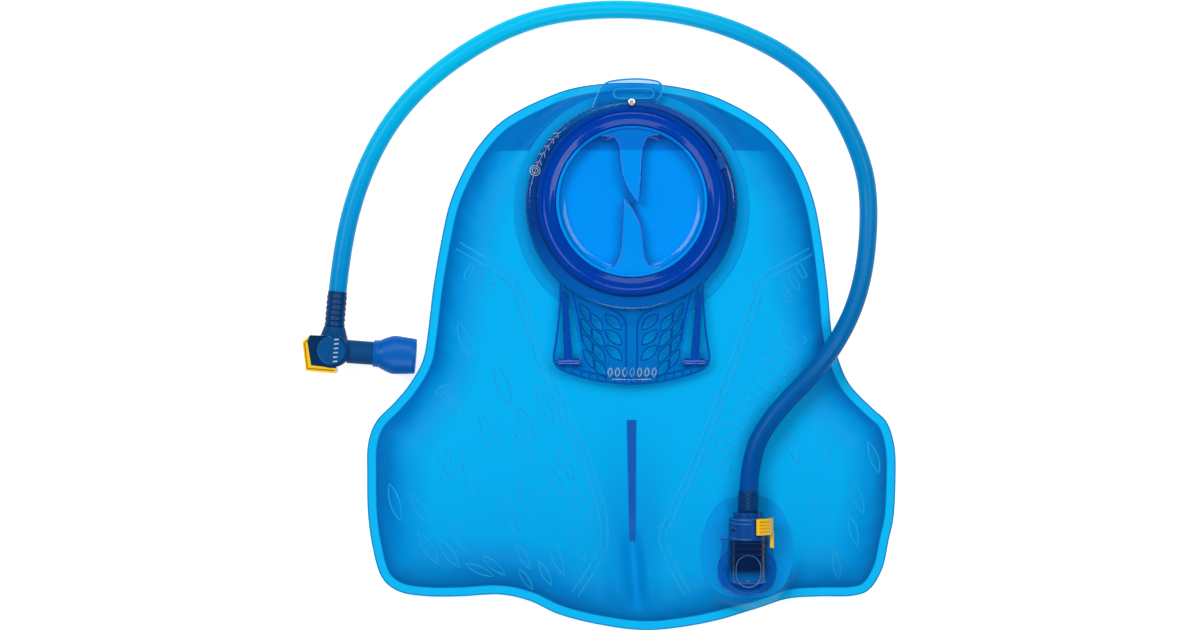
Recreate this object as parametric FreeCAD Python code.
"""Hydration bladder for a waist pack: a welded film bag lying on its back, with a screw-in fill cap, a
drying-arm handle, a plug-in outlet and a drinking hose that ends in a lockable bite valve.

Millimetres. +Z is up, out of the front film. +Y runs towards the fill port and the hang hook. The origin
is on the flat of the back film, in the middle of the bag. What stands on the front film takes its height
from it.
"""

import FreeCAD, Part
import math
import os

Vector = FreeCAD.Vector
UP = Vector(0, 0, 1)
ALONG = Vector(0, 1, 0)
ACROSS = Vector(1, 0, 0)

# ---- Bag ----
BAG_WIDTH = 290.0
BAG_LENGTH = 300.0
BAG_THICKNESS = 24.0
FILM = 0.5
WELD_BAND = 5.0  # width of the flat welded rim
WELD_HEIGHT = 12.0  # height of the plane where the two films meet
PILLOW_EDGE = 12.0  # how far in from the weld each film takes to reach its flat
RING_STEPS = 6
OUTLINE_SAMPLES = 80
# Outline, clockwise from the top: shares of half the width and half the length.
OUTLINE = [
    (0.0, 1.0), (0.186, 0.985), (0.334, 0.945), (0.486, 0.865), (0.58, 0.78), (0.645, 0.687), (0.694, 0.56),
    (0.722, 0.413), (0.743, 0.252), (0.758, 0.093), (0.785, -0.012), (0.828, -0.103), (0.912, -0.188),
    (0.968, -0.24), (0.997, -0.333), (1.0, -0.453), (0.993, -0.584), (0.974, -0.672), (0.951, -0.773),
    (0.903, -0.85), (0.835, -0.875), (0.713, -0.877), (0.593, -0.885), (0.485, -0.917), (0.334, -0.962),
    (0.182, -0.99), (0.041, -1.0), (-0.121, -0.98), (-0.273, -0.943), (-0.386, -0.893), (-0.5, -0.87),
    (-0.652, -0.877), (-0.779, -0.876), (-0.88, -0.859), (-0.945, -0.807), (-0.979, -0.7), (-0.997, -0.573),
    (-1.0, -0.433), (-0.997, -0.32), (-0.966, -0.237), (-0.897, -0.167), (-0.839, -0.1), (-0.789, -0.012),
    (-0.77, 0.093), (-0.75, 0.252), (-0.722, 0.413), (-0.688, 0.56), (-0.634, 0.683), (-0.572, 0.78),
    (-0.482, 0.868), (-0.334, 0.944), (-0.193, 0.988),
]
UPPER_PANEL_DEPTH = 37.5  # from the top of the bag down to the panel's straight edge
UPPER_PANEL_FILM = 0.4
BAFFLE_LENGTH = 66.0
BAFFLE_FROM_BOTTOM = 49.5
BAFFLE_WEB = 0.8
BAFFLE_FOOT = 5.0

# ---- Fill port: base, collar, handle and hang hook ----
PORT_FROM_TOP = 65.4  # port centre below the top of the bag
NECK_BORE = 47.5  # radius
NECK_WALL = 2.1
NECK_HEIGHT = 7.6
FIT_GAP = 0.2  # between pieces moulded separately and snapped together
SEAT_LEDGE = 4.5  # width of the gasket's seat inside the neck
SEAT_HEIGHT = 1.6
OPENING_RADIUS = NECK_BORE - SEAT_LEDGE  # clear way into the bag
FLANGE_WIDTH = 16.5  # from the neck's bore outwards
FLANGE_RADIUS = NECK_BORE + FLANGE_WIDTH
FLANGE_DROP = 3.6  # the flange circle's centre is this far below the port's
FLANGE_THICK = 0.8
COLLAR_WALL = 7.8
COLLAR_RADIUS = NECK_BORE + NECK_WALL + FIT_GAP + COLLAR_WALL
COLLAR_DROP = 2.2  # the collar's outside is centred this far below the port
COLLAR_HEIGHT = 9.2
COLLAR_STEP = 4.5  # from the neck's bore out to the counterbore
COLLAR_COUNTERBORE = NECK_BORE + COLLAR_STEP
COLLAR_BEAD = 2.6
HANDLE_GAP = 1.8  # under the handle, above the film
HANDLE_THICK = 4.4
HANDLE_WIDTH = 85.6
HANDLE_FOOT = 99.6  # from the port centre down to the handle's lower edge
HANDLE_RIB = 6.0
HANDLE_RIB_RISE = 0.8
HANDLE_RIB_FLARE = 9.0  # radius of the rib's hollow where it meets the ring
LEAF_LENGTH = 11.6
LEAF_PITCH = 8.4
# Columns of leaf holes from the rib outwards: offset of the lowest leaf, drift outwards from leaf to leaf,
# height of the lowest leaf above the foot, leaves, width and lean.
LEAF_COLUMNS = [
    (9.6, 0.2, 17.4, 3, 4.5, 43.0), (17.2, 0.7, 8.8, 4, 4.1, 54.0), (23.0, 0.7, 14.0, 4, 3.4, 60.0),
]
# Edge of the hang hook, from the top of the collar's outside.
HOOK_EDGE = [
    (-21.5, -4.2), (-18.6, 3.3), (-14.8, 9.0), (-8.4, 10.9), (2.0, 11.7),
    (10.6, 11.1), (15.6, 9.6), (17.1, 6.4), (16.2, 2.4), (13.6, -0.8),
]
HOOK_THICK = 3.6
HOOK_SLOT_LENGTH = 20.8
HOOK_SLOT_WIDTH = 4.4
HOOK_SLOT = (1.1, 3.2)  # slot centre, from the same place
HOOK_SLIT = 1.0
HOOK_SLIT_LEAN = -20.0
PIN_RADIUS = 1.1
PIN_HEAD_RADIUS = 2.1
PIN_HEAD_HEIGHT = 1.5
PIN_FROM_STEP = 1.8  # pin centre outside the counterbore

# ---- Cap, gasket and tether ----
RIM_GAP = 1.0  # between the rim and the collar's counterbore
RIM_OUTER = COLLAR_COUNTERBORE - RIM_GAP
RIM_WIDTH = 10.0
RIM_INNER = RIM_OUTER - RIM_WIDTH
RIM_HEIGHT = 3.2
RIM_ROUND = 1.3
SKIRT_WALL = 1.8
GASKET_HEIGHT = 2.0
TETHER_RING_THICK = 1.2
SWIVEL_GAP = 0.08  # the ring turns on the cap's skirt
TETHER_THICK = 1.2
TETHER_WIDTH = 2.6
TETHER_SPAN = 70.0  # degrees of the collar that the tether follows
TONGUE_WIDTH = 6.0
DISH_WALL = 1.6
DISH_DEPTH = 9.0  # from the rim's top to the dish floor
FIN_DROP = 1.5  # grip fins end this far below the rim's top
# Half of the grip, about the port's centre: the other half is turned half a turn.
FIN_LEFT = [(-17.0, 36.0), (-9.5, 34.6), (-6.6, 29.0), (-5.4, 17.0), (-2.4, 8.0), (3.6, -1.0)]
FIN_RIGHT = [(3.6, -1.0), (4.7, 12.0), (5.8, 28.0), (8.6, 34.6), (15.5, 36.6)]

# ---- Drying arms ----
ARM_X = 34.2  # barrel centre from the middle of the handle
BARREL_LENGTH = 11.2
BARREL_SINK = 0.1  # below the handle's faces
BARREL_RADIUS = HANDLE_THICK / 2 - BARREL_SINK
STUB_RADIUS = 1.2
STUB_LENGTH = 1.4
STUB_CLEARANCE = 0.06
HINGE_FROM_FOOT = 12.2
ARM_LENGTH = 38.0
ARM_ROOT_WIDTH = 4.8
ARM_TIP_WIDTH = 2.6
ARM_SPLAY = 2.6
ARM_SINK = 0.5  # below the handle's faces
ARM_THICK = HANDLE_THICK - 2 * ARM_SINK
WINDOW_GAP = 0.5

# ---- Outlet: patch, housing, poppet ----
OUTLET_X = 63.0
OUTLET_FROM_BOTTOM = 46.6  # patch centre above the bag's lowest edge
PATCH_WIDTH = 50.0
PATCH_LENGTH = 56.5
PATCH_FILM = 0.4
SADDLE_THICK = 1.4
SADDLE_SET_BACK = 0.8  # the saddle's top edge stays below the connector's collar
SOCKET_BORE = 6.7  # radius
MOUTH_WALL = 1.7
MOUTH_RADIUS = SOCKET_BORE + MOUTH_WALL
MOUTH_LENGTH = 9.8
SOCKET_WALL = 3.9
SOCKET_RADIUS = SOCKET_BORE + SOCKET_WALL
SOCKET_LENGTH = 23.0
BORE_DEPTH = 20.9
SEAT_WALL = 1.5
SEAT_HOLE = 4.4  # radius
SEAT_LAP = 1.2  # of the poppet over the hole
POPPET_RADIUS = SEAT_HOLE + SEAT_LAP
CHAMBER_GAP = 1.8  # for water round the poppet
CHAMBER_RADIUS = POPPET_RADIUS + CHAMBER_GAP
CHAMBER_LENGTH = 9.0
INLET_RADIUS = 4.5
POPPET_THICK = 1.4
POPPET_SEAL = 0.6
POPPET_STEM = 1.6
POPPET_GAP = 0.15

# ---- Hose connector ----
CONNECTOR_GAP = 0.3  # round the socket's mouth and in its bore
CONNECTOR_WALL = 1.7
CONNECTOR_RADIUS = MOUTH_RADIUS + CONNECTOR_GAP + CONNECTOR_WALL
CONNECTOR_LENGTH = 12.3
SHOULDER_RADIUS = 8.0
SHOULDER_LENGTH = 2.5
NOSE_RADIUS = SOCKET_BORE - CONNECTOR_GAP
PROBE_GAP = 0.8
PROBE_RADIUS = SEAT_HOLE - PROBE_GAP
WATER_BORE = 2.3
CONNECTOR_BARB = 11.6
BARB_PITCH = 2.3
BARB_RIDGE = 0.3
RING_SECTION = 0.62
RING_GROOVE = 1.5
BUTTON_TRAVEL = 1.2
BUTTON_WALL = 1.9
BUTTON_TONGUE = 2.1  # length of the tongue along the hose
TONGUE_LEAD = 0.1  # the tongue rests this far inside the collar's slot
TONGUE_DROP = 3.1  # from the collar's end down to the tongue
TONGUE_HALF = 2.4
BUTTON_LENGTH = 8.8
BUTTON_TAIL = 7.2
BUTTON_HALF_HEIGHT = 2.5
SPRING_RADIUS = 1.0
SPRING_DEPTH = 1.2  # of its pocket in the collar
SPRING_DROP = 7.7  # from the collar's end

# ---- Hose ----
TUBE_RADIUS = 5.0
TUBE_BORE = 3.2
BARB_GAP = 0.05
BARB_RADIUS = TUBE_BORE - BARB_GAP
BARB_ROOT = BARB_RADIUS - BARB_RIDGE
ARC_SHARE = 0.45  # of the shorter run beside each point
# Route from the connector to the elbow. Its points are chosen by hand.
TUBE_ROUTE = [
    (63.0, -84.3, 35.2), (63.0, -55.5, 35.2), (76.5, -30.5, 36.5), (107.0, -1.0, 32.5), (126.5, 35.0, 16.0),
    (132.0, 83.0, 5.1), (126.0, 114.0, 5.1), (106.0, 150.0, 5.1), (78.0, 171.5, 5.1), (37.0, 187.5, 5.1),
    (-8.0, 192.5, 5.1), (-56.0, 187.0, 5.1), (-98.0, 164.5, 5.1), (-129.0, 136.0, 5.1), (-149.0, 100.0, 5.1),
    (-160.3, 55.3, 9.5), (-163.1, 16.4, 9.5),
]

# ---- Elbow, lock lever and bite valve, about the middle of the elbow's drum ----
SPOOL_RADIUS = 5.42
SPOOL_HALF = 6.4
SPOOL_GAP = 0.08
SPOOL_BORE = SPOOL_RADIUS + SPOOL_GAP
DRUM_WALL = 3.7
DRUM_RADIUS = SPOOL_BORE + DRUM_WALL
COVER_THICK = 2.3
COVER_GAP = 0.2  # above the spool
DRUM_HALF = SPOOL_HALF + COVER_GAP + COVER_THICK
SHOULDER_FROM = 3.0  # the shoulder tapers from the drum up to the hose
SHOULDER_END_RADIUS = 5.7
NECK_END = DRUM_RADIUS + 3.8
STEM_OUTER = 6.4  # radius
STEM_END = DRUM_RADIUS + 17.8
RING_DEPTH = 0.9  # of the spool's grooves
RING_FROM_END = 1.5  # groove centre from the spool's end
ELBOW_BORE = 2.6
ELBOW_BARB = 20.0
BARB_PLUG_RADIUS = 4.5
BARB_PLUG_DEPTH = 5.5
SPOOL_RING = 0.45
SPOOL_OPEN_AT = -30.0  # lever angle at which the spool's way meets the neck and the stem
WINDOW_HALF = 4.4
WINDOW_FROM = 118.0
WINDOW_TO = 325.0
LEVER_HALF = 7.4
LEVER_GAP = 0.4
# Outer edge of the lever, clockwise from its upper corner, beyond the drum.
LEVER_EDGE = [
    (-DRUM_RADIUS - 3.2, 7.6), (-DRUM_RADIUS - 7.0, 3.6),
    (-DRUM_RADIUS - 4.0, -DRUM_RADIUS - 2.8), (3.0, -DRUM_RADIUS - 3.0),
]
GRIP_THICK = 2.7
CHEEK_THICK = 1.4  # plate of the lever over the drum's upper face
CHEEK_GAP = 0.2
CHEEK_INSET = 1.2  # inside the drum's edge
LEVER_WEB_FROM = 165.0
LEVER_WEB_TO = 240.0
BITE_WALL = 0.9  # over the stem
BITE_ROOT = STEM_OUTER + BITE_WALL
# Sections of the mouthpiece and of the room inside it: distance past the stem's end, half width, half height.
BITE_SECTIONS = [
    (-4.6, BITE_ROOT, BITE_ROOT), (-0.6, BITE_ROOT + 0.7, BITE_ROOT + 0.2), (6.4, 10.6, 7.7), (18.8, 9.7, 6.8),
]
BITE_INNER = [(0.0, 6.2, 6.2), (6.4, 8.8, 5.9), (16.6, 7.9, 5.0)]
BITE_SLIT = 12.0

# ---- Places worked out from the sizes ----
TOP = BAG_LENGTH / 2
PORT_Y = TOP - PORT_FROM_TOP
PORT = Vector(0, PORT_Y, 0)
FLANGE_Y = PORT_Y - FLANGE_DROP
FRONT = BAG_THICKNESS
SEAT_TOP = FRONT + SEAT_HEIGHT
NECK_TOP = FRONT + NECK_HEIGHT
COLLAR_TOP = FRONT + COLLAR_HEIGHT
HANDLE_BASE = FRONT + HANDLE_GAP
HINGE_Y = PORT_Y - HANDLE_FOOT + HINGE_FROM_FOOT
HINGE_Z = HANDLE_BASE + HANDLE_THICK / 2
RIM_BASE = NECK_TOP + TETHER_RING_THICK + FIT_GAP
RIM_TOP = RIM_BASE + RIM_HEIGHT
SKIRT_FOOT = SEAT_TOP + GASKET_HEIGHT
SKIRT_OUTER = NECK_BORE - 0.3
DISH_FLOOR = RIM_TOP - DISH_DEPTH
PIN_REACH = COLLAR_COUNTERBORE + PIN_FROM_STEP
HOOK_Y = PORT_Y - COLLAR_DROP + COLLAR_RADIUS
SPOOL_RING_Z = SPOOL_HALF - RING_FROM_END
OUTLET_Y = -TOP + OUTLET_FROM_BOTTOM
SADDLE_BASE = FRONT + PATCH_FILM
AXIS_Z = SADDLE_BASE + SOCKET_RADIUS + FIT_GAP
MOUTH_Y = OUTLET_Y + 13.8  # open end of the socket
SOCKET_Y = MOUTH_Y - MOUTH_LENGTH  # where the thick part of the socket starts
SEAT_Y = MOUTH_Y - BORE_DEPTH
CHAMBER_Y = SEAT_Y - SEAT_WALL
INLET_Y = CHAMBER_Y - CHAMBER_LENGTH / 2
CAP_END_Y = MOUTH_Y + 2.8  # top of the connector's collar
SHOULDER_Y = CAP_END_Y + SHOULDER_LENGTH
TONGUE_Y = CAP_END_Y - TONGUE_DROP
PROBE_Y = CHAMBER_Y - 1.0
POPPET_TOP = PROBE_Y - POPPET_GAP


# ---- Small helpers ----
def disc(radius, low, high, x=0.0, y=0.0):
    """Upright cylinder between two heights."""
    return Part.makeCylinder(radius, high - low, Vector(x, y, low), UP)


def port_disc(radius, low, high):
    """Cylinder about the fill port's axis."""
    return disc(radius, low, high, 0.0, PORT_Y)


def outlet_rod(radius, y_low, y_high):
    """Cylinder about the outlet's axis, which runs along Y."""
    return Part.makeCylinder(radius, y_high - y_low, Vector(OUTLET_X, y_low, AXIS_Z), ALONG)


def block(x_low, x_high, y_low, y_high, z_low, z_high):
    return Part.makeBox(x_high - x_low, y_high - y_low, z_high - z_low, Vector(x_low, y_low, z_low))


def plate(points, low, high):
    """Prism over a polygon given as (x, y) pairs."""
    corners = [Vector(x, y, low) for x, y in points]
    return Part.Face(Part.makePolygon(corners + corners[:1])).extrude(UP * (high - low))


def spline_edge(points, z):
    curve = Part.BSplineCurve()
    curve.interpolate([Vector(x, y, z) for x, y in points])
    return curve.toShape()


def closed_spline(points):
    curve = Part.BSplineCurve()
    curve.interpolate(points, PeriodicFlag=True)
    return Part.Wire(curve.toShape())


def sector(radius, start, end, low, high):
    """Wedge of a cylinder about the origin, between two angles in degrees."""
    wedge = Part.makeCylinder(radius, high - low, Vector(0, 0, low), UP, end - start)
    wedge.rotate(Vector(0, 0, 0), UP, start)
    return wedge


def ring_of(section_radius, ring_radius, centre, axis):
    return Part.makeTorus(ring_radius, section_radius, centre, axis)


def coil(radius, wire, pitch, length, start, axis):
    """Helical spring of round wire from start along axis."""
    helix = Part.makeLongHelix(pitch, length - 2 * wire, radius)
    profile = Part.Wire(Part.makeCircle(wire, Vector(radius, 0, 0), ALONG))
    spring = Part.Wire(helix).makePipeShell([profile], True, True)
    spring.translate(UP * wire)
    spring.Placement = FreeCAD.Placement(start, FreeCAD.Rotation(UP, axis)).multiply(spring.Placement)
    return spring


# ---- Bag ----
def outline_curve():
    curve = Part.BSplineCurve()
    half_width, half_length = BAG_WIDTH / 2, BAG_LENGTH / 2
    curve.interpolate([Vector(x * half_width, y * half_length, 0) for x, y in OUTLINE], PeriodicFlag=True)
    return curve


def inset_ring(inset, z):
    """The bag's outline moved in by a distance, at a height."""
    curve = outline_curve()
    first, last = curve.FirstParameter, curve.LastParameter
    points = []
    for i in range(OUTLINE_SAMPLES):
        at = first + (last - first) * i / OUTLINE_SAMPLES
        tangent = curve.tangent(at)[0]
        inward = Vector(tangent.y, -tangent.x, 0)
        point = curve.value(at) + inward * inset
        points.append(Vector(point.x, point.y, z))
    return closed_spline(points)


def pillow(side_inset, flat_inset, flat_z):
    """Solid from the weld plane to a flat, with sides a quarter of an ellipse."""
    rings = []
    for i in range(RING_STEPS + 1):
        angle = math.pi / 2 * i / RING_STEPS
        inset = side_inset + (flat_inset - side_inset) * (1 - math.cos(angle))
        rings.append(inset_ring(inset, WELD_HEIGHT + (flat_z - WELD_HEIGHT) * math.sin(angle)))
    return Part.makeLoft(rings, True)


def patch_wire(margin, z):
    """Egg-shaped outline of the outlet's patch, grown by a margin."""
    half_width, half_length = PATCH_WIDTH / 2 + margin, PATCH_LENGTH / 2 + margin
    shape = [(0, 1), (0.6, 0.84), (0.92, 0.35), (1.0, -0.25), (0.78, -0.78), (0, -1)]
    points = shape + [(-x, y) for x, y in shape[-2:0:-1]]
    places = [Vector(OUTLET_X + x * half_width, OUTLET_Y + y * half_length, z) for x, y in points]
    return closed_spline(places)


def outlet_pad(margin, top):
    return Part.Face(patch_wire(margin, WELD_HEIGHT)).extrude(UP * (top - WELD_HEIGHT))


def weld_rim(low, high):
    outer = Part.Face(inset_ring(0, low)).extrude(UP * (high - low))
    inner = Part.Face(inset_ring(WELD_BAND + 0.6 * FILM, low)).extrude(UP * (high - low))
    return outer.cut(inner)


def make_front_film():
    """Front film: welded rim, domed sides, and raised pads where the port and the outlet are welded on."""
    flat = WELD_BAND + PILLOW_EDGE
    outer = pillow(WELD_BAND, flat, FRONT)
    outer = outer.fuse([disc(FLANGE_RADIUS, WELD_HEIGHT, FRONT, 0, FLANGE_Y), outlet_pad(0, FRONT)])
    inner = pillow(WELD_BAND + FILM, flat, FRONT - FILM)
    inner = inner.fuse([
        disc(FLANGE_RADIUS - FILM, WELD_HEIGHT, FRONT - FILM, 0, FLANGE_Y), outlet_pad(-FILM, FRONT - FILM)
    ])
    film = outer.cut(inner).fuse(weld_rim(WELD_HEIGHT, WELD_HEIGHT + FILM))
    film = film.cut(port_disc(OPENING_RADIUS + 1.0, WELD_HEIGHT, FRONT + 1))
    return film.cut(disc(INLET_RADIUS, WELD_HEIGHT, FRONT + 1, OUTLET_X, INLET_Y)).removeSplitter()


def make_back_film():
    """Back film: the same outline, domed down to the flat that the bag rests on."""
    flat = WELD_BAND + PILLOW_EDGE
    outer = pillow(WELD_BAND, flat, 0.0)
    inner = pillow(WELD_BAND + FILM, flat, FILM)
    return outer.cut(inner).fuse(weld_rim(WELD_HEIGHT - FILM, WELD_HEIGHT)).removeSplitter()


def make_upper_panel():
    """Second layer welded inside the back film, from a straight edge up to the top of the flat."""
    flat = Part.Face(inset_ring(WELD_BAND + PILLOW_EDGE + 1.0, FILM)).extrude(UP * UPPER_PANEL_FILM)
    edge = TOP - UPPER_PANEL_DEPTH
    return flat.common(block(-BAG_WIDTH, BAG_WIDTH, edge, TOP, 0, FRONT))


def make_baffle():
    """Web that ties the front film to the back film down the middle, with a welded foot on each."""
    low = -TOP + BAFFLE_FROM_BOTTOM
    high = low + BAFFLE_LENGTH
    web = block(-BAFFLE_WEB / 2, BAFFLE_WEB / 2, low, high, FILM, FRONT - FILM)
    back_foot = block(-BAFFLE_FOOT / 2, BAFFLE_FOOT / 2, low, high, FILM, 2 * FILM)
    front_foot = block(-BAFFLE_FOOT / 2, BAFFLE_FOOT / 2, low, high, FRONT - 2 * FILM, FRONT - FILM)
    return web.fuse([back_foot, front_foot])


# ---- Fill port ----
def make_port_base():
    """Weldable flange with a gasket seat and the neck that the cap's skirt turns in."""
    flange = disc(FLANGE_RADIUS, FRONT, FRONT + FLANGE_THICK, 0, FLANGE_Y)
    neck = port_disc(NECK_BORE + NECK_WALL, FRONT, NECK_TOP)
    base = flange.fuse(neck).cut(port_disc(NECK_BORE, SEAT_TOP, NECK_TOP + 1))
    return base.cut(port_disc(OPENING_RADIUS, FRONT - 1, SEAT_TOP + 1))


def collar_ring():
    """Ring snapped round the neck: a flat top for the tether, a rounded outer edge, and a boss for the pin."""
    low = FRONT + FLANGE_THICK
    ring = disc(COLLAR_RADIUS, low, COLLAR_TOP, 0, PORT_Y - COLLAR_DROP)
    ring = ring.makeFillet(COLLAR_BEAD, [e for e in ring.Edges if e.BoundBox.ZMin > COLLAR_TOP - 0.1])
    return ring.fuse(disc(PIN_HEAD_RADIUS + 0.2, HANDLE_BASE, COLLAR_TOP, 0, PORT_Y + PIN_REACH))


def collar_bore():
    """Room inside the collar for the neck, with a counterbore for the swivel ring and the cap's rim."""
    bore = port_disc(NECK_BORE + NECK_WALL + FIT_GAP, FRONT, COLLAR_TOP)
    return bore.fuse(port_disc(COLLAR_COUNTERBORE, NECK_TOP, COLLAR_TOP + 1))


def handle_blank():
    """Plate below the ring, flared towards a bowed lower edge."""
    half = HANDLE_WIDTH / 2
    foot = PORT_Y - HANDLE_FOOT
    root = Vector(half * 0.92, foot + 54.0, HANDLE_BASE)
    waist = Vector(half * 0.935, foot + 37.0, HANDLE_BASE)
    hip = Vector(half, foot + 17.0, HANDLE_BASE)
    corner = Vector(half * 0.985, foot + 11.0, HANDLE_BASE)
    heel = Vector(half * 0.9, foot + 7.4, HANDLE_BASE)
    sole = Vector(0, foot, HANDLE_BASE)

    def across(point):
        return Vector(-point.x, point.y, point.z)

    edges = [
        Part.Arc(root, waist, hip).toShape(),
        Part.Arc(hip, corner, heel).toShape(),
        Part.Arc(heel, sole, across(heel)).toShape(),
        Part.Arc(across(heel), across(corner), across(hip)).toShape(),
        Part.Arc(across(hip), across(waist), across(root)).toShape(),
        Part.makeLine(across(root), root),
    ]
    return Part.Face(Part.Wire(edges)).extrude(UP * HANDLE_THICK)


def leaf(x, y, width, lean):
    """Lens-shaped hole, through the handle, whose long axis leans by an angle."""
    end = Vector(LEAF_LENGTH / 2, 0, 0)
    side = Vector(0, width / 2, 0)
    wire = Part.Wire([Part.Arc(-end, side, end).toShape(), Part.Arc(end, -side, -end).toShape()])
    hole = Part.Face(wire).extrude(UP * (HANDLE_THICK + 2))
    hole.rotate(Vector(0, 0, 0), UP, lean)
    hole.translate(Vector(x, y, HANDLE_BASE - 1))
    return hole


def leaf_holes():
    """Two mirrored fields of leaf holes, in columns that lean more as they go out."""
    holes = []
    for offset, drift, first, rows, width, lean in LEAF_COLUMNS:
        for row in range(rows):
            x = offset + drift * row
            y = PORT_Y - HANDLE_FOOT + first + LEAF_PITCH * row
            holes += [leaf(-x, y, width, -lean), leaf(x, y, width, lean)]
    return holes


def rib():
    """Raised rib down the handle's middle, widening in two hollows where it meets the ring."""
    top = HANDLE_BASE + HANDLE_THICK + HANDLE_RIB_RISE
    half = HANDLE_RIB / 2
    low, high = PORT_Y - HANDLE_FOOT + 1.5, PORT_Y - COLLAR_DROP - COLLAR_RADIUS + 3
    bar = block(-half, half, low, high, HANDLE_BASE, top)
    reach = half + HANDLE_RIB_FLARE
    flare = block(-reach, reach, high - HANDLE_RIB_FLARE, high, HANDLE_BASE, top)
    centre = high - HANDLE_RIB_FLARE
    hollows = [disc(HANDLE_RIB_FLARE, HANDLE_BASE, top, side * reach, centre) for side in (-1, 1)]
    return bar.fuse(flare.cut(hollows))


def arm_window(side):
    """Opening in the handle that a drying arm folds into."""
    inner = ARM_X - BARREL_LENGTH / 2 - WINDOW_GAP
    outer = ARM_X + BARREL_LENGTH / 2 + WINDOW_GAP
    low = HINGE_Y - BARREL_RADIUS - 2 * WINDOW_GAP
    tip = HINGE_Y + ARM_LENGTH + WINDOW_GAP
    reach = ARM_TIP_WIDTH / 2 + WINDOW_GAP
    points = [
        (inner, low), (outer, low), (outer, HINGE_Y + 8.0), (ARM_X + ARM_SPLAY + reach, tip),
        (ARM_X + ARM_SPLAY - reach, tip), (inner, HINGE_Y + 8.0),
    ]
    return plate([(side * x, y) for x, y in points], HANDLE_BASE - 1, HANDLE_BASE + HANDLE_THICK + 1)


def stub_holes(side):
    half = BARREL_LENGTH / 2 + WINDOW_GAP + STUB_LENGTH
    start = Vector(side * ARM_X - half, HINGE_Y, HINGE_Z)
    return Part.makeCylinder(STUB_RADIUS + STUB_CLEARANCE, 2 * half, start, ACROSS)


def hang_hook():
    """Tab above the ring. Its slot opens at one end through a slit, so it hooks onto a loop."""
    base = HANDLE_BASE + 1.0
    points = [(x, HOOK_Y + y) for x, y in HOOK_EDGE]
    (left, _), (right, _) = points[0], points[-1]
    low = PORT_Y + COLLAR_COUNTERBORE - 8.0
    corners = [points[-1], (right, low), (left, low), points[0]]
    sides = Part.makePolygon([Vector(x, y, base) for x, y in corners]).Edges
    wire = Part.Wire(Part.__sortEdges__([spline_edge(points, base), *sides]))
    return Part.Face(wire).extrude(UP * HOOK_THICK)


def hook_cuts():
    """The strap slot, and the slanted slit that opens its end."""
    x, y = HOOK_SLOT[0], HOOK_Y + HOOK_SLOT[1]
    radius = HOOK_SLOT_WIDTH / 2
    reach = HOOK_SLOT_LENGTH / 2 - radius
    low, high = FRONT + FLANGE_THICK, COLLAR_TOP + 1
    ends = [disc(radius, low, high, x + side * reach, y) for side in (-1, 1)]
    bar = block(x - reach, x + reach, y - radius, y + radius, low, high)
    slit = block(0, HOOK_SLOT_LENGTH / 2, -HOOK_SLIT / 2, HOOK_SLIT / 2, low, high)
    slit.rotate(Vector(0, 0, 0), UP, HOOK_SLIT_LEAN)
    slit.translate(Vector(x + reach, y - radius / 2, 0))
    return [*ends, bar, slit]


def make_port_collar():
    """One clear moulding: ring, perforated handle and hang hook."""
    body = collar_ring().fuse([handle_blank(), rib(), hang_hook()]).cut(collar_bore())
    body = body.cut([arm_window(1), arm_window(-1), stub_holes(1), stub_holes(-1), *leaf_holes(), *hook_cuts()])
    return body.cut(disc(PIN_RADIUS, COLLAR_TOP - 5, COLLAR_TOP + 1, 0, PORT_Y + PIN_REACH)).removeSplitter()


def make_tether_pin():
    """Headed pin that holds the tether's eye to the collar."""
    y = PORT_Y + PIN_REACH
    head_low = COLLAR_TOP + TETHER_THICK
    head = disc(PIN_HEAD_RADIUS, head_low, head_low + PIN_HEAD_HEIGHT, 0, y)
    head = head.makeFillet(0.5, [e for e in head.Edges if e.BoundBox.ZMin > head_low + 0.1])
    return head.fuse(disc(PIN_RADIUS, COLLAR_TOP - 5, head_low, 0, y))


def make_cap_tether():
    """Thin strap on the collar, from an eye at the pin round to a tongue that meets the swivel ring."""
    inner = COLLAR_COUNTERBORE + 0.1
    outer = inner + TETHER_WIDTH
    low, high = COLLAR_TOP, COLLAR_TOP + TETHER_THICK
    strap = sector(outer, 90 - TETHER_SPAN, 90, low, high).cut(disc(inner, low - 1, high + 1))
    tongue = block(COLLAR_COUNTERBORE - 0.9, outer - 0.6, -TONGUE_WIDTH / 2, TONGUE_WIDTH / 2, low, high)
    drop = block(
        COLLAR_COUNTERBORE - 0.9, COLLAR_COUNTERBORE - 0.1, -TONGUE_WIDTH / 2, TONGUE_WIDTH / 2,
        NECK_TOP + TETHER_RING_THICK + FIT_GAP / 2, low,
    )
    tongue = tongue.fuse(drop)
    tongue.rotate(Vector(0, 0, 0), UP, 90 - TETHER_SPAN + 3)
    strap = strap.fuse(tongue)
    strap.translate(PORT)
    pin_y = PORT_Y + PIN_REACH
    eye = disc(PIN_HEAD_RADIUS + 0.3, low, high, 0, pin_y).fuse(strap)
    return eye.cut(disc(PIN_RADIUS, low - 1, high + 1, 0, pin_y)).removeSplitter()


# ---- Cap ----
def make_tether_ring():
    """Swivel ring on top of the neck, under the cap's rim: it rises with the cap and doesn't turn."""
    low = NECK_TOP + FIT_GAP / 2
    high = low + TETHER_RING_THICK
    ring = port_disc(COLLAR_COUNTERBORE - 2 * FIT_GAP, low, high)
    return ring.cut(port_disc(SKIRT_OUTER + SWIVEL_GAP, low - 1, high + 1))


def make_cap_gasket():
    low, high = SEAT_TOP, SKIRT_FOOT
    gasket = port_disc(SKIRT_OUTER, low, high).cut(port_disc(OPENING_RADIUS + 0.6, low - 1, high + 1))
    return gasket.makeChamfer(0.4, [e for e in gasket.Edges if e.BoundBox.ZMin > high - 0.1])


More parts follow.
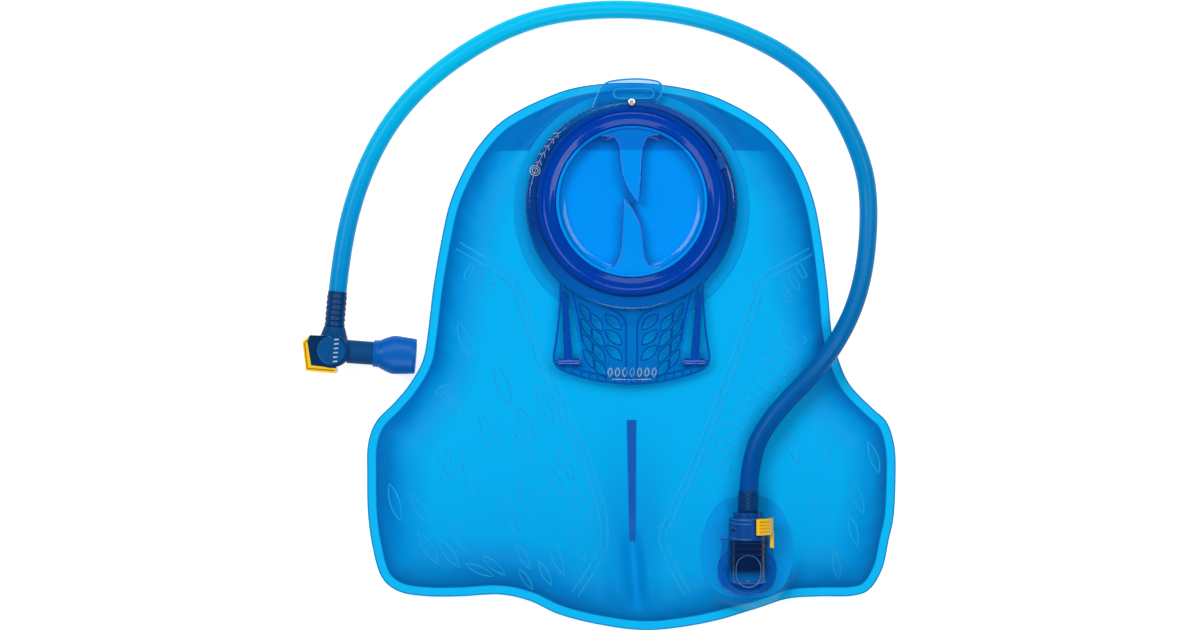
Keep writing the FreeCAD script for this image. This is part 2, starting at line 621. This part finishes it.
def make_cap_rim():
    """Rim that covers the neck, with the skirt that goes down into it."""
    rim = port_disc(RIM_OUTER, RIM_BASE, RIM_TOP)
    rim = rim.makeFillet(RIM_ROUND, [e for e in rim.Edges if e.BoundBox.ZMin > RIM_TOP - 0.1])
    skirt = port_disc(SKIRT_OUTER, SKIRT_FOOT, RIM_BASE)
    skirt = skirt.cut(port_disc(SKIRT_OUTER - SKIRT_WALL, SKIRT_FOOT - 1, RIM_BASE))
    return rim.fuse(skirt).cut(port_disc(RIM_INNER, SKIRT_FOOT, RIM_TOP + 1))


def grip_fin(turn):
    """Half of the S-shaped grip that the fingers turn."""
    left = spline_edge(FIN_LEFT, DISH_FLOOR)
    right = spline_edge(FIN_RIGHT, DISH_FLOOR)
    start, end = left.Vertexes[0].Point, right.Vertexes[-1].Point
    back = [start, start + Vector(3, 4, 0), end + Vector(-3, 4, 0), end]
    face = Part.Face(Part.Wire(Part.__sortEdges__([left, right, *Part.makePolygon(back).Edges])))
    fin = face.extrude(UP * (RIM_TOP - FIN_DROP - DISH_FLOOR))
    fin.rotate(Vector(0, 0, 0), UP, turn)
    fin.translate(PORT)
    return fin


def make_cap_dish():
    """Recessed dish bonded inside the rim, with two grip fins."""
    top = RIM_TOP - 0.6
    low = DISH_FLOOR - DISH_WALL
    cup = port_disc(RIM_INNER, low, top).cut(port_disc(RIM_INNER - DISH_WALL, DISH_FLOOR, top + 1))
    room = port_disc(RIM_INNER, low, top)
    return cup.fuse([grip_fin(0).common(room), grip_fin(180).common(room)]).removeSplitter()


# ---- Drying arms ----
def make_drying_arm(side):
    """Arm that folds flat into the handle and swings up about a barrel at its foot."""
    start = Vector(-BARREL_LENGTH / 2, 0, 0)
    barrel = Part.makeCylinder(BARREL_RADIUS, BARREL_LENGTH, start, ACROSS)
    reach = BARREL_LENGTH / 2 + WINDOW_GAP + STUB_LENGTH - 0.2
    stubs = Part.makeCylinder(STUB_RADIUS, 2 * reach, Vector(-reach, 0, 0), ACROSS)
    root, tip = ARM_ROOT_WIDTH / 2, ARM_TIP_WIDTH / 2
    blade = plate(
        [(-root, 0), (root, 0), (ARM_SPLAY + tip, ARM_LENGTH), (ARM_SPLAY - tip, ARM_LENGTH)],
        -ARM_THICK / 2, ARM_THICK / 2,
    )
    arm = barrel.fuse([stubs, blade])
    if side < 0:
        arm = arm.mirror(Vector(0, 0, 0), ACROSS)
    arm.translate(Vector(side * ARM_X, HINGE_Y, HINGE_Z))
    return arm


# ---- Outlet ----
def make_outlet_patch():
    patch = Part.Face(patch_wire(0, FRONT)).extrude(UP * PATCH_FILM)
    return patch.cut(disc(INLET_RADIUS, FRONT - 1, FRONT + 2, OUTLET_X, INLET_Y))


def saddle_plate():
    """Bell-shaped foot of the housing."""
    narrow, wide = SOCKET_RADIUS, SOCKET_RADIUS * 1.5
    top, low = SOCKET_Y - SADDLE_SET_BACK, OUTLET_Y - 26.0
    shape = [
        (0, top), (narrow * 0.8, top - 2.0), (narrow * 1.05, top - 6.0), (wide * 0.93, low + 19.0),
        (wide, low + 12.0), (wide * 0.7, low + 3.0), (0, low),
    ]
    points = shape + [(-x, y) for x, y in shape[-2:0:-1]]
    wire = closed_spline([Vector(OUTLET_X + x, y, SADDLE_BASE) for x, y in points])
    return Part.Face(wire).extrude(UP * SADDLE_THICK)


def make_outlet_housing():
    """Socket for the hose connector on a saddle foot, with a valve chamber over the inlet hole."""
    end = SOCKET_Y - SOCKET_LENGTH
    body = outlet_rod(SOCKET_RADIUS, end, SOCKET_Y)
    body = body.makeFillet(2.0, [e for e in body.Edges if e.BoundBox.YMax < end + 0.1])
    mouth = outlet_rod(MOUTH_RADIUS, SOCKET_Y, MOUTH_Y)
    web = block(OUTLET_X - 8.0, OUTLET_X + 8.0, end + 1.0, SOCKET_Y, SADDLE_BASE + 0.5, AXIS_Z)
    guard = disc(13.0, SADDLE_BASE + 0.5, SADDLE_BASE + 6.0, OUTLET_X, INLET_Y)
    guard = guard.cut(disc(11.2, SADDLE_BASE, SADDLE_BASE + 7.0, OUTLET_X, INLET_Y))
    guard = guard.cut(block(OUTLET_X - 20, OUTLET_X + 20, INLET_Y, INLET_Y + 20, SADDLE_BASE, SADDLE_BASE + 7))
    shape = saddle_plate().fuse([body, mouth, web, guard])
    bore = outlet_rod(SOCKET_BORE, SEAT_Y, MOUTH_Y + 1)
    seat_hole = outlet_rod(SEAT_HOLE, CHAMBER_Y, SEAT_Y)
    chamber = outlet_rod(CHAMBER_RADIUS, CHAMBER_Y - CHAMBER_LENGTH, CHAMBER_Y)
    inlet = disc(INLET_RADIUS, SADDLE_BASE - 1, AXIS_Z, OUTLET_X, INLET_Y)
    return shape.cut([bore, seat_hole, chamber, inlet]).removeSplitter()


def make_poppet():
    """Valve disc that the connector's probe holds open."""
    face = POPPET_TOP - 1.85
    stem = outlet_rod(POPPET_STEM, face, POPPET_TOP)
    return stem.fuse(outlet_rod(POPPET_RADIUS, face - POPPET_THICK, face))


def make_poppet_seal():
    face = POPPET_TOP - 1.85
    return outlet_rod(POPPET_RADIUS - 0.2, face, face + POPPET_SEAL).cut(
        outlet_rod(POPPET_RADIUS - 1.1, face - 1, face + POPPET_SEAL + 1)
    )


def make_poppet_spring():
    back = CHAMBER_Y - CHAMBER_LENGTH
    front = POPPET_TOP - 1.85 - POPPET_THICK
    return coil(3.4, 0.35, 1.2, front - back - 0.1, Vector(OUTLET_X, back + 0.05, AXIS_Z), ALONG)


# ---- Hose connector ----
def barb(start, length):
    """Hose tail along +Z from a height, with saw-tooth ridges."""
    tail = Part.makeCylinder(BARB_ROOT, length, Vector(0, 0, start), UP)
    ridges = []
    for i in range(int(length / BARB_PITCH)):
        low = start + length - (i + 1) * BARB_PITCH
        ridges.append(Part.makeCone(BARB_RADIUS, BARB_ROOT, BARB_PITCH * 0.8, Vector(0, 0, low), UP))
    return tail.fuse(ridges)


def make_connector():
    """Plug with a collar that closes over the socket, a shoulder and a hose tail."""
    collar = outlet_rod(CONNECTOR_RADIUS, CAP_END_Y - CONNECTOR_LENGTH, CAP_END_Y)
    collar = collar.makeFillet(0.9, [e for e in collar.Edges if e.BoundBox.YMin > CAP_END_Y - 0.1])
    cavity_end = MOUTH_Y + 0.3
    cavity = outlet_rod(MOUTH_RADIUS + CONNECTOR_GAP, CAP_END_Y - CONNECTOR_LENGTH - 1, cavity_end)
    shell = collar.cut(cavity)
    shoulder = outlet_rod(SHOULDER_RADIUS, CAP_END_Y, SHOULDER_Y)
    nose = outlet_rod(NOSE_RADIUS, SEAT_Y + 0.4, cavity_end)
    probe = outlet_rod(PROBE_RADIUS, PROBE_Y, SEAT_Y + 0.4)
    tail = barb(0, CONNECTOR_BARB)
    tail.Placement = FreeCAD.Placement(Vector(OUTLET_X, SHOULDER_Y, AXIS_Z), FreeCAD.Rotation(UP, ALONG))
    body = shell.fuse([shoulder, nose, probe, tail])
    groove_y = SEAT_Y + 7.0
    groove = outlet_rod(NOSE_RADIUS + 1, groove_y - RING_GROOVE / 2, groove_y + RING_GROOVE / 2).cut(
        outlet_rod(NOSE_RADIUS - 1.0, groove_y - RING_GROOVE, groove_y + RING_GROOVE)
    )
    bore = outlet_rod(WATER_BORE, PROBE_Y - 1, SHOULDER_Y + CONNECTOR_BARB + 1)
    side_slot = block(
        OUTLET_X + CONNECTOR_RADIUS - CONNECTOR_WALL - 0.4, OUTLET_X + CONNECTOR_RADIUS + 1,
        TONGUE_Y - BUTTON_TONGUE - CONNECTOR_GAP, TONGUE_Y + CONNECTOR_GAP,
        AXIS_Z - TONGUE_HALF - CONNECTOR_GAP, AXIS_Z + TONGUE_HALF + CONNECTOR_GAP,
    )
    pocket = Part.makeCylinder(SPRING_RADIUS + 0.35, CONNECTOR_WALL + 1, spring_start(), ACROSS)
    return body.cut([groove, bore, side_slot, pocket]).removeSplitter()


def spring_start():
    """Floor of the button spring's pocket."""
    return Vector(OUTLET_X + CONNECTOR_RADIUS - SPRING_DEPTH, CAP_END_Y - SPRING_DROP, AXIS_Z)


def make_connector_ring():
    centre = Vector(OUTLET_X, SEAT_Y + 7.0, AXIS_Z)
    return ring_of(RING_SECTION, NOSE_RADIUS - 1.0 + RING_SECTION + 0.01, centre, ALONG)


def make_release_button():
    """Thumb button wrapped round the collar's side, with a tongue that enters the collar's slot."""
    inner = CONNECTOR_RADIUS + FIT_GAP
    centre_x = OUTLET_X + BUTTON_TRAVEL + FIT_GAP
    top = CAP_END_Y - 0.4
    length = BUTTON_LENGTH

    def shell(radius, y_low, y_high):
        return Part.makeCylinder(radius, y_high - y_low, Vector(centre_x, y_low, AXIS_Z), ALONG)

    wrap = shell(inner + BUTTON_WALL, top - length, top).cut(shell(inner, top - length - 1, top + 1))
    keep = Part.makeBox(20, length + 2, 2 * inner, Vector(OUTLET_X + 4.2, top - length - 1, AXIS_Z - BUTTON_HALF_HEIGHT))
    wrap = wrap.common(keep)
    strip = block(
        centre_x + inner, centre_x + inner + BUTTON_WALL, top - length - BUTTON_TAIL, top - length + 1.0,
        AXIS_Z - BUTTON_HALF_HEIGHT, AXIS_Z + BUTTON_HALF_HEIGHT,
    )
    tongue = block(
        OUTLET_X + CONNECTOR_RADIUS - TONGUE_LEAD, centre_x + inner + 0.4, TONGUE_Y - BUTTON_TONGUE, TONGUE_Y,
        AXIS_Z - TONGUE_HALF, AXIS_Z + TONGUE_HALF,
    )
    return wrap.fuse([strip, tongue]).removeSplitter()


def make_button_spring():
    room = SPRING_DEPTH + BUTTON_TRAVEL + 2 * FIT_GAP
    return coil(SPRING_RADIUS, 0.2, 0.8, room - 0.1, spring_start() + ACROSS * 0.05, ACROSS)


# ---- Hose ----
def route_path():
    """Straight runs joined by tangent arcs through the route's corners."""
    points = [Vector(*p) for p in TUBE_ROUTE]
    edges, here, radii = [], points[0], []
    for before, corner, after in zip(points, points[1:], points[2:]):
        back, ahead = before - corner, after - corner
        reach = ARC_SHARE * min(back.Length, ahead.Length)
        back.normalize()
        ahead.normalize()
        turn = math.pi - back.getAngle(ahead)
        radius = reach / math.tan(turn / 2)
        radii.append(round(radius))
        inward = back + ahead
        inward.normalize()
        middle = corner + inward * (radius / math.cos(turn / 2) - radius)
        start, end = corner + back * reach, corner + ahead * reach
        edges += [Part.LineSegment(here, start).toShape(), Part.Arc(start, middle, end).toShape()]
        here = end
    edges.append(Part.LineSegment(here, points[-1]).toShape())
    return Part.Wire(edges), radii


def make_tube():
    """Drinking hose from the connector's shoulder to the elbow's neck."""
    path, radii = route_path()
    start = path.Edges[0]
    axis = start.tangentAt(start.FirstParameter)
    solids = []
    for radius in (TUBE_RADIUS, TUBE_BORE):
        profile = Part.Wire(Part.makeCircle(radius, Vector(*TUBE_ROUTE[0]), axis))
        solids.append(path.makePipeShell([profile], True, False))
    tube = solids[0].cut(solids[1])
    section = math.pi * (TUBE_RADIUS**2 - TUBE_BORE**2)
    print("tube length", round(path.Length, 1), "arc radii", radii)
    print("tube volume over section times length", round(tube.Volume / (section * path.Length), 4))
    return tube


# ---- Elbow and bite valve, made about the drum's middle and then put in place ----
def elbow_place(shape):
    """Puts a shape on the end of the hose: the elbow's neck points back along the last run."""
    end, before = Vector(*TUBE_ROUTE[-1]), Vector(*TUBE_ROUTE[-2])
    back = before - end
    back.normalize()
    turn = math.degrees(math.atan2(back.y, back.x)) - 90
    shape.rotate(Vector(0, 0, 0), UP, turn)
    shape.translate(end - back * NECK_END)
    return shape


def rod_x(radius, x_low, x_high):
    return Part.makeCylinder(radius, x_high - x_low, Vector(x_low, 0, 0), ACROSS)


def rod_y(radius, y_low, y_high):
    return Part.makeCylinder(radius, y_high - y_low, Vector(0, y_low, 0), ALONG)


def neck_shoulder(room):
    """Tapered shoulder between the drum and the hose, grown all round by some room."""
    return Part.makeCone(
        DRUM_HALF - 0.1 + room, SHOULDER_END_RADIUS + room, NECK_END - SHOULDER_FROM,
        Vector(0, SHOULDER_FROM, 0), ALONG,
    )


def past_shoulder(shape):
    """Cuts a part of the lever back, so that it clears the shoulder when the lever is turned to open."""
    shoulder = neck_shoulder(0.25)
    shoulder.rotate(Vector(0, 0, 0), UP, -SPOOL_OPEN_AT)
    return shape.cut(shoulder)


def make_elbow_body():
    """Drum with a tapered shoulder up to the hose and a stem to the bite valve."""
    drum = disc(DRUM_RADIUS, -DRUM_HALF, DRUM_HALF)
    drum = drum.makeFillet(1.2, [e for e in drum.Edges if e.Length > DRUM_HALF * 4])
    body = drum.fuse([neck_shoulder(0), rod_x(STEM_OUTER, 0, STEM_END)])
    spool_room = disc(SPOOL_BORE, -SPOOL_HALF - COVER_GAP, DRUM_HALF + 1)
    window = sector(DRUM_RADIUS + 1, WINDOW_FROM, WINDOW_TO, -WINDOW_HALF, WINDOW_HALF)
    neck_plug = rod_y(BARB_PLUG_RADIUS, NECK_END - BARB_PLUG_DEPTH, NECK_END + 1)
    ways = [rod_y(ELBOW_BORE, 0, NECK_END), rod_x(ELBOW_BORE, 0, STEM_END + 1)]
    return elbow_place(body.cut([spool_room, window, neck_plug, *ways]).removeSplitter())


def make_elbow_cover():
    cover = disc(SPOOL_BORE, DRUM_HALF - COVER_THICK, DRUM_HALF)
    return elbow_place(cover.cut(disc(2.2, DRUM_HALF - 0.5, DRUM_HALF + 1)))


def make_hose_barb():
    """Ridged tail plugged into the elbow's neck."""
    tail = barb(NECK_END, ELBOW_BARB).fuse(disc(BARB_PLUG_RADIUS, NECK_END - BARB_PLUG_DEPTH, NECK_END))
    tail = tail.cut(disc(WATER_BORE, NECK_END - BARB_PLUG_DEPTH - 1, NECK_END + ELBOW_BARB + 1))
    tail.rotate(Vector(0, 0, 0), ACROSS, -90)
    return elbow_place(tail)


def make_spool():
    """Turning plug whose bent way meets the neck and the stem with the lever at its open end."""
    spool = disc(SPOOL_RADIUS, -SPOOL_HALF, SPOOL_HALF)
    ways = [rod_y(ELBOW_BORE, 0, SPOOL_BORE), rod_x(ELBOW_BORE, 0, SPOOL_BORE)]
    for way in ways:
        way.rotate(Vector(0, 0, 0), UP, -SPOOL_OPEN_AT)
    grooves = []
    for z in (-SPOOL_RING_Z, SPOOL_RING_Z):
        groove = disc(SPOOL_RADIUS + 1, z - 0.55, z + 0.55)
        grooves.append(groove.cut(disc(SPOOL_RADIUS - RING_DEPTH, z - 1, z + 1)))
    return elbow_place(spool.cut([*ways, *grooves]))


def make_spool_ring(z):
    radius = SPOOL_RADIUS - RING_DEPTH + SPOOL_RING + 0.01
    return elbow_place(ring_of(SPOOL_RING, radius, Vector(0, 0, z), UP))


def lever_inner_edge():
    """The lever's outer edge, moved in by the grip's thickness."""
    top, left, corner, right = [Vector(x, y, 0) for x, y in LEVER_EDGE]
    side = (corner - left).normalize()
    base = (right - corner).normalize()
    side_in, base_in = Vector(-side.y, side.x, 0), Vector(-base.y, base.x, 0)
    start = left + side_in * GRIP_THICK
    end = right + base_in * GRIP_THICK
    middle = corner + side_in * GRIP_THICK + base_in * GRIP_THICK
    return [(start.x, start.y), (middle.x, middle.y), (end.x, end.y)], (top.x, top.y)


def make_lever_arm():
    """Dark wedge beside the drum, joined to the spool through the drum's window."""
    (start, corner, end), top = lever_inner_edge()
    heel = (corner[0] + 0.55 * (end[0] - corner[0]), corner[1] + 0.55 * (end[1] - corner[1]))
    head = plate([top, start, corner, heel, (0, 0)], -LEVER_HALF, LEVER_HALF)
    head = past_shoulder(head.cut(disc(DRUM_RADIUS + LEVER_GAP, -DRUM_HALF, DRUM_HALF)))
    web_half = WINDOW_HALF - 0.3
    web = sector(DRUM_RADIUS + LEVER_GAP + 0.6, LEVER_WEB_FROM, LEVER_WEB_TO, -web_half, web_half)
    web = web.cut(disc(SPOOL_RADIUS, -DRUM_HALF, DRUM_HALF))
    return elbow_place(head.fuse([web, lever_cheek([top, start, corner, end])]).removeSplitter())


def lever_cheek(edge):
    """Plate that carries the lever over the drum's upper face, joined down to the lever's head."""
    low = DRUM_HALF + CHEEK_GAP
    high = low + CHEEK_THICK
    radius = DRUM_RADIUS - CHEEK_INSET
    face = plate([*edge, (radius * 0.6, -radius * 0.8), (0, radius)], low, high)
    cheek = face.fuse(disc(radius, low, high))
    post = plate([*edge, (0, 0)], LEVER_HALF - 0.5, low + 0.5).cut(disc(DRUM_RADIUS + LEVER_GAP, 0, high))
    return cheek.fuse(past_shoulder(post))


def make_lever_grip():
    """Bright thumb grip along the lever's outer edge."""
    inner, top = lever_inner_edge()
    outer = [(x, y) for x, y in LEVER_EDGE]
    top = DRUM_HALF + CHEEK_GAP + CHEEK_THICK
    grip = plate([*outer, *inner[::-1]], -LEVER_HALF - 0.4, top)
    return elbow_place(grip.cut(disc(DRUM_RADIUS + LEVER_GAP, -DRUM_HALF, top)))


def ellipse_loft(sections):
    """Solid through upright ellipses at distances past the stem's end."""
    wires = []
    for past, half_width, half_height in sections:
        ellipse = Part.Ellipse(Vector(0, 0, 0), max(half_width, half_height + 1e-4), half_height)
        wire = Part.Wire(ellipse.toShape())
        wire.rotate(Vector(0, 0, 0), UP, 90)
        wire.rotate(Vector(0, 0, 0), ALONG, 90)
        wire.translate(ACROSS * (STEM_END + past))
        wires.append(wire)
    return Part.makeLoft(wires, True, True)


def make_bite_valve():
    """Soft mouthpiece pushed over the stem, flat towards its slit."""
    outside = ellipse_loft(BITE_SECTIONS)
    inside = ellipse_loft(BITE_INNER)
    sleeve = rod_x(STEM_OUTER, STEM_END + BITE_SECTIONS[0][0] - 1, STEM_END)
    slit = Part.makeBox(6, BITE_SLIT, 0.3, Vector(STEM_END + BITE_INNER[-1][0] - 1, -BITE_SLIT / 2, -0.15))
    return elbow_place(outside.cut([inside, sleeve, slit]))


def main():
    parts = {
        "back_film": make_back_film(),
        "front_film": make_front_film(),
        "upper_back_panel": make_upper_panel(),
        "centre_baffle": make_baffle(),
        "fill_port_base": make_port_base(),
        "port_collar": make_port_collar(),
        "tether_pin": make_tether_pin(),
        "cap_tether": make_cap_tether(),
        "tether_ring": make_tether_ring(),
        "cap_gasket": make_cap_gasket(),
        "cap_rim": make_cap_rim(),
        "cap_dish": make_cap_dish(),
        "drying_arm_left": make_drying_arm(-1),
        "drying_arm_right": make_drying_arm(1),
        "outlet_patch": make_outlet_patch(),
        "outlet_housing": make_outlet_housing(),
        "outlet_poppet": make_poppet(),
        "poppet_seal": make_poppet_seal(),
        "poppet_spring": make_poppet_spring(),
        "connector_body": make_connector(),
        "connector_o_ring": make_connector_ring(),
        "release_button": make_release_button(),
        "button_spring": make_button_spring(),
        "drink_tube": make_tube(),
        "hose_barb": make_hose_barb(),
        "elbow_body": make_elbow_body(),
        "elbow_cover": make_elbow_cover(),
        "valve_spool": make_spool(),
        "spool_ring_upper": make_spool_ring(SPOOL_RING_Z),
        "spool_ring_lower": make_spool_ring(-SPOOL_RING_Z),
        "lever_arm": make_lever_arm(),
        "lever_grip": make_lever_grip(),
        "bite_valve": make_bite_valve(),
    }
    os.makedirs("parts", exist_ok=True)
    for name, shape in parts.items():
        print(name, "solids", len(shape.Solids), "valid", shape.isValid(), "volume", round(shape.Volume, 1))
        shape.exportStep(f"parts/{name}.step")


main()
